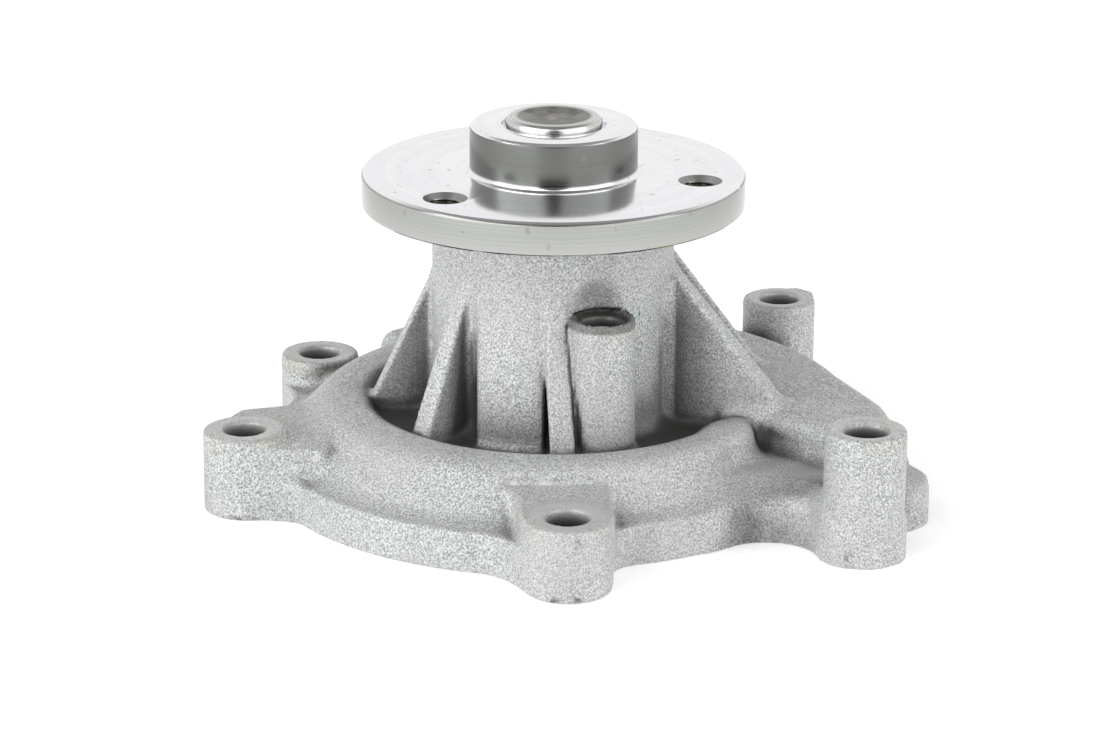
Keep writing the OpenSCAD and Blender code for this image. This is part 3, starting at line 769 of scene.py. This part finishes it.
def turned_steel():
    f = Finish("turned_steel")
    path, radius, height = f.polar_place()
    lines = f.noise(5200, 3.0, path)
    bands = f.noise(420, 2.0, path)
    cloud = f.noise(95, 3.0)
    specks = f.span(f.noise(650, 1.0), 0.70, 0.76)
    colour = f.mix(f.span(bands, 0.3, 0.7), (0.90, 0.90, 0.925), (0.965, 0.965, 0.985))
    colour = f.mix(f.span(cloud, 0.4, 0.75, 0.0, 0.2), colour, (0.80, 0.81, 0.82))
    # Painted reflection: the pilot's side is painted much darker than the same steel on the flange top, for
    # what it reflects.
    head = f.math("MULTIPLY", f.span(height, 0.0541, 0.0547), f.span(radius, 0.01385, 0.01395))
    colour = f.mix(head, colour, f.mix(lines, (0.12, 0.125, 0.12), (0.20, 0.205, 0.195)))
    # Painted reflection: the flange's outer side is painted darker than its top, for what it reflects. The
    # same side mask also places the real oil stain below.
    side = f.span(radius, 0.03165, 0.0319)
    rim = f.mix(lines, (0.20, 0.21, 0.195), (0.42, 0.43, 0.40))
    colour = f.mix(f.math("MULTIPLY", side, 0.9), colour, rim)
    colour = f.mix(f.math("MULTIPLY", specks, 0.5), colour, (0.22, 0.21, 0.19))
    oil = f.math("MULTIPLY", f.math("MULTIPLY", side, f.span(height, 0.0482, 0.0488, 1.0, 0.0)),
                 f.span(f.noise(210, 2.0), 0.58, 0.64))
    colour = f.mix(oil, colour, (0.36, 0.30, 0.10))
    holes = 0
    for angle in HOLE_ANGLES:
        holes = f.math("MAXIMUM", holes, f.column((*polar(BOLT_CIRCLE_R, angle), 0), 3.72, 3.64))
    # Painted shade in the bolt holes: the countersinks are painted darker than the flange top, and the thread
    # inside is painted near black.
    countersink = f.mix(lines, (0.16, 0.16, 0.155), (0.34, 0.34, 0.33))
    colour = f.mix(f.math("MULTIPLY", holes, 0.9), colour, countersink)
    thread = f.math("MULTIPLY", holes, f.span(height, 0.0528, 0.0523))
    colour = f.mix(f.math("MULTIPLY", thread, 0.9), colour, (0.05, 0.045, 0.03))
    bright = f.math("MULTIPLY", f.worn_edge(), f.math("SUBTRACT", 1.0, holes))
    colour = f.mix(bright, colour, (0.95, 0.95, 0.95))
    rough = f.math("ADD", f.span(lines, 0.25, 0.75, 0.08, 0.17), f.span(cloud, 0.3, 0.8, 0.0, 0.05))
    rough = f.math("ADD", rough, f.math("MULTIPLY", head, 0.07))
    rough = f.math("ADD", rough, f.math("MULTIPLY", holes, 0.25))
    tangent = f.nodes.new("ShaderNodeTangent")
    tangent.direction_type, tangent.axis = "RADIAL", "Z"
    f.link(tangent.outputs[0], f.shader.inputs["Tangent"])
    f.bump(f.math("ADD", lines, f.math("MULTIPLY", specks, -1.5)), 0.006, 0.5)
    return f.set(base_color=colour, roughness=rough, metallic=1.0, anisotropic=0.4)


def plain_metal(name, dark, light, roughness, grain=2600, depth=0.01, turned_lines=True, stain=None):
    """Metal with turning or polishing lines, clouding and bright edges."""
    f = Finish(name)
    lines = f.noise(grain, 3.0, f.polar_place()[0] if turned_lines else None)
    cloud = f.noise(260, 3.0)
    colour = f.mix(f.span(lines, 0.3, 0.7), dark, light)
    colour = f.mix(f.span(cloud, 0.45, 0.75, 0.0, 0.6), colour, stain or dark)
    colour = f.mix(f.worn_edge(), colour, tuple(min(1, 1.15 * c) for c in light))
    rough = f.math("ADD", f.span(lines, 0.2, 0.8, roughness - 0.05, roughness + 0.05),
                   f.span(cloud, 0.3, 0.8, 0.0, 0.1))
    f.bump(f.math("ADD", lines, f.math("MULTIPLY", cloud, 0.4)), depth, 0.6)
    return f.set(base_color=colour, roughness=rough, metallic=1.0)


def soft_material(name, dark, light, roughness, grain, depth, sheen=0.0):
    """Rubber, nylon, carbon or ceramic: fine grain, clouding and paler rubbed edges."""
    f = Finish(name)
    fine, cloud = f.noise(grain, 3.0), f.noise(320, 2.0)
    colour = f.mix(f.span(fine, 0.3, 0.7), dark, light)
    colour = f.mix(f.span(cloud, 0.4, 0.8, 0.0, 0.5), colour, dark)
    rubbed = tuple(min(1, 1.6 * c + 0.03) for c in light)
    colour = f.mix(f.math("MULTIPLY", f.worn_edge(), 0.5), colour, rubbed)
    f.bump(fine, depth, 0.6)
    return f.set(base_color=colour, roughness=f.span(fine, 0.2, 0.8, roughness - 0.08, roughness + 0.08),
                 sheen_weight=sheen)


def shaft_steel():
    f = Finish("shaft_steel")
    path, radius, height = f.polar_place()
    lines, cloud, fine = f.noise(3000, 3.0, path), f.noise(420, 3.0), f.noise(1700, 3.0)
    colour = f.mix(f.span(lines, 0.3, 0.7), (0.52, 0.52, 0.51), (0.74, 0.74, 0.73))
    end = f.math("MULTIPLY", f.span(height, 0.0622, 0.0626), f.span(radius, 0.0066, 0.0058))
    scale = f.mix(f.span(cloud, 0.36, 0.64), (0.09, 0.085, 0.07), (0.30, 0.29, 0.265))
    colour = f.mix(f.math("MULTIPLY", end, 0.9), colour, scale)
    colour = f.mix(f.worn_edge(), colour, (0.86, 0.86, 0.85))
    rough = f.math("ADD", f.span(cloud, 0.3, 0.7, 0.20, 0.30), f.math("MULTIPLY", end, 0.14))
    f.bump(f.math("ADD", f.math("MULTIPLY", lines, 0.3), f.math("MULTIPLY", f.math("ADD", fine, cloud), end)),
           0.06, 0.6)
    return f.set(base_color=colour, roughness=rough, metallic=1.0)


def impeller_iron():
    f = Finish("impeller_iron")
    grain, cloud, rust = f.noise(1900, 3.0), f.noise(140, 3.0), f.noise(330, 3.0)
    colour = f.mix(f.span(grain, 0.32, 0.68), (0.20, 0.20, 0.20), (0.42, 0.42, 0.41))
    colour = f.mix(f.span(cloud, 0.4, 0.7, 0.0, 0.5), colour, (0.17, 0.165, 0.16))
    colour = f.mix(f.span(rust, 0.62, 0.72, 0.0, 0.35), colour, (0.26, 0.15, 0.08))
    colour = f.mix(f.worn_edge(), colour, (0.52, 0.52, 0.52))
    f.bump(f.math("ADD", grain, cloud), 0.12, 0.6)
    return f.set(base_color=colour, roughness=f.span(grain, 0.3, 0.7, 0.64, 0.46), metallic=0.6)


# Smudges on the casting: centre in millimetres, reach, and how much each axis is squeezed
DIRT = [
    ((4.0, -60.0, 9.6), 1.6, (1.6, 0.3, 0.7)),
    ((4.2, -60.0, 0.8), 1.5, (1.2, 0.3, 1.0)),
    ((0.6, -60.0, 0.4), 1.2, (0.6, 0.3, 1.2)),
    ((47.6, -44.4, 1.6), 1.5, (1.3, 0.3, 0.7)),
    ((-50.8, -24.4, 6.5), 0.8, (1.0, 0.3, 1.0)),
    ((-51.0, -24.4, 0.3), 1.4, (0.4, 0.3, 1.6)),
]
GREEN_FLECK = (14.3, -14.4, 33.2)

MATERIALS = {
    "cast_aluminium": cast_aluminium(),
    "turned_steel": turned_steel(),
    "shaft_steel": shaft_steel(),
    "bearing_steel": plain_metal("bearing_steel", (0.48, 0.49, 0.50), (0.66, 0.67, 0.68), 0.24),
    "polished_steel": plain_metal("polished_steel", (0.70, 0.70, 0.71), (0.82, 0.82, 0.83), 0.10,
                                  1500, 0.002, False),
    "cage_nylon": soft_material("cage_nylon", (0.50, 0.34, 0.12), (0.62, 0.44, 0.18), 0.48, 1300, 0.02),
    "black_rubber": soft_material("black_rubber", (0.012, 0.012, 0.013), (0.03, 0.03, 0.032), 0.62,
                                  2100, 0.03, 0.15),
    "brass_cup": plain_metal("brass_cup", (0.50, 0.36, 0.15), (0.70, 0.53, 0.25), 0.30,
                             stain=(0.34, 0.22, 0.10)),
    "spring_steel": plain_metal("spring_steel", (0.50, 0.50, 0.50), (0.68, 0.68, 0.68), 0.26,
                                2400, 0.008, False),
    "carbon": soft_material("carbon", (0.02, 0.02, 0.022), (0.055, 0.055, 0.06), 0.38, 1800, 0.01),
    "white_ceramic": soft_material("white_ceramic", (0.70, 0.68, 0.62), (0.80, 0.79, 0.74), 0.26,
                                   1500, 0.006),
    "impeller_iron": impeller_iron(),
}
SLOTS = {
    "cast_aluminium": ["housing"],
    "turned_steel": ["pulley_flange"],
    "shaft_steel": ["shaft", "impeller_bush"],
    "bearing_steel": ["bearing_outer_race"],
    "polished_steel": ["balls_upper", "balls_lower"],
    "cage_nylon": ["cage_upper", "cage_lower"],
    "black_rubber": ["bearing_seal_upper", "bearing_seal_lower", "slinger",
                     "seal_bellows", "mating_ring_cup"],
    "brass_cup": ["seal_cup"],
    "spring_steel": ["seal_spring", "spring_retainer", "bellows_band"],
    "carbon": ["carbon_ring"],
    "white_ceramic": ["mating_ring"],
    "impeller_iron": ["impeller"],
}


def dress(piece, name):
    piece.data.materials.clear()
    piece.data.materials.append(MATERIALS[name])


for slot_name, nodes in SLOTS.items():
    for node in nodes:
        dress(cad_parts[node], slot_name)
dress(casting, "cast_aluminium")
dress(pulley, "turned_steel")
dress(shaft, "shaft_steel")
dress(impeller, "impeller_iron")

# ---------------------------------------------------------------- camera, light and floor

camera = bpy.data.objects.new("camera", bpy.data.cameras.new("camera"))
bpy.context.scene.collection.objects.link(camera)
camera.data.lens, camera.data.sensor_width = 121.05, 36
turn, tilt, roll = (math.radians(a) for a in (-0.045, 90 - 18.492, 0.405))
camera.matrix_world = (Matrix.Translation((0, -0.6, 0.21917)) @ Matrix.Rotation(turn, 4, "Z")
                       @ Matrix.Rotation(tilt, 4, "X") @ Matrix.Rotation(roll, 4, "Z"))
bpy.context.scene.camera = camera


def studio_world():
    """White all round, dim overhead, with the darker room in front of the bench low down."""
    world = bpy.data.worlds.new("studio")
    world.use_nodes = True
    tree = world.node_tree
    view = tree.nodes.new("ShaderNodeTexCoord")
    parts = tree.nodes.new("ShaderNodeSeparateXYZ")
    tree.links.new(view.outputs["Generated"], parts.inputs[0])

    def ramp(source, low, high):
        n = tree.nodes.new("ShaderNodeMapRange")
        n.interpolation_type = "SMOOTHSTEP"
        n.inputs[1].default_value, n.inputs[2].default_value = low, high
        tree.links.new(source, n.inputs[0])
        return n.outputs[0]

    def times(a, b):
        n = tree.nodes.new("ShaderNodeMath")
        n.operation = "MULTIPLY"
        tree.links.new(a, n.inputs[0])
        tree.links.new(b, n.inputs[1])
        return n.outputs[0]

    room = times(ramp(parts.outputs[1], -0.1, -0.7), ramp(parts.outputs[2], 0.75, 0.45))
    narrow = times(ramp(parts.outputs[0], 0.5, 0.3), ramp(parts.outputs[0], -0.5, -0.3))
    colour = (1.0, 1.0, 1.0, 1)
    overhead = ramp(parts.outputs[2], 0.5, 0.85)
    for amount, shade in ((overhead, (0.3, 0.3, 0.3, 1)), (room, (0.22, 0.225, 0.225, 1)),
                          (times(room, narrow), (0.06, 0.055, 0.045, 1))):
        n = tree.nodes.new("ShaderNodeMix")
        n.data_type = "RGBA"
        tree.links.new(amount, n.inputs[0])
        if isinstance(colour, tuple):
            n.inputs[6].default_value = colour
        else:
            tree.links.new(colour, n.inputs[6])
        n.inputs[7].default_value = shade
        colour = n.outputs[2]
    tree.links.new(colour, tree.nodes["Background"].inputs[0])
    tree.nodes["Background"].inputs[1].default_value = 0.92
    return world


def soft_lamp(name, energy, size, place, aim=(0, 0, 0.02)):
    lamp = bpy.data.objects.new(name, bpy.data.lights.new(name, "AREA"))
    bpy.context.scene.collection.objects.link(lamp)
    lamp.data.energy, lamp.data.size = energy, size
    lamp.location = place
    lamp.rotation_euler = (Vector(aim) - lamp.location).to_track_quat("-Z", "Y").to_euler()


bpy.context.scene.view_settings.view_transform = "Standard"
bpy.context.scene.world = studio_world()
soft_lamp("key", 26, 2.0, (-1.1, -0.9, 0.7))
soft_lamp("fill", 17, 2.0, (1.1, -0.9, 0.7))

floor_mesh = bpy.data.meshes.new("floor")
reach, drop = 3, -5e-5  # just under the mounting face
corners = [(-reach, -reach, drop), (reach, -reach, drop), (reach, reach, drop), (-reach, reach, drop)]
floor_mesh.from_pydata(corners, [], [(0, 1, 2, 3)])
floor = bpy.data.objects.new("floor", floor_mesh)
bpy.context.scene.collection.objects.link(floor)
paper = Finish("pale_paper")
floor_mesh.materials.append(paper.set(base_color=(0.95, 0.95, 0.95, 1), roughness=0.9,
                                      emission_color=(1, 1, 1, 1), emission_strength=0.3))
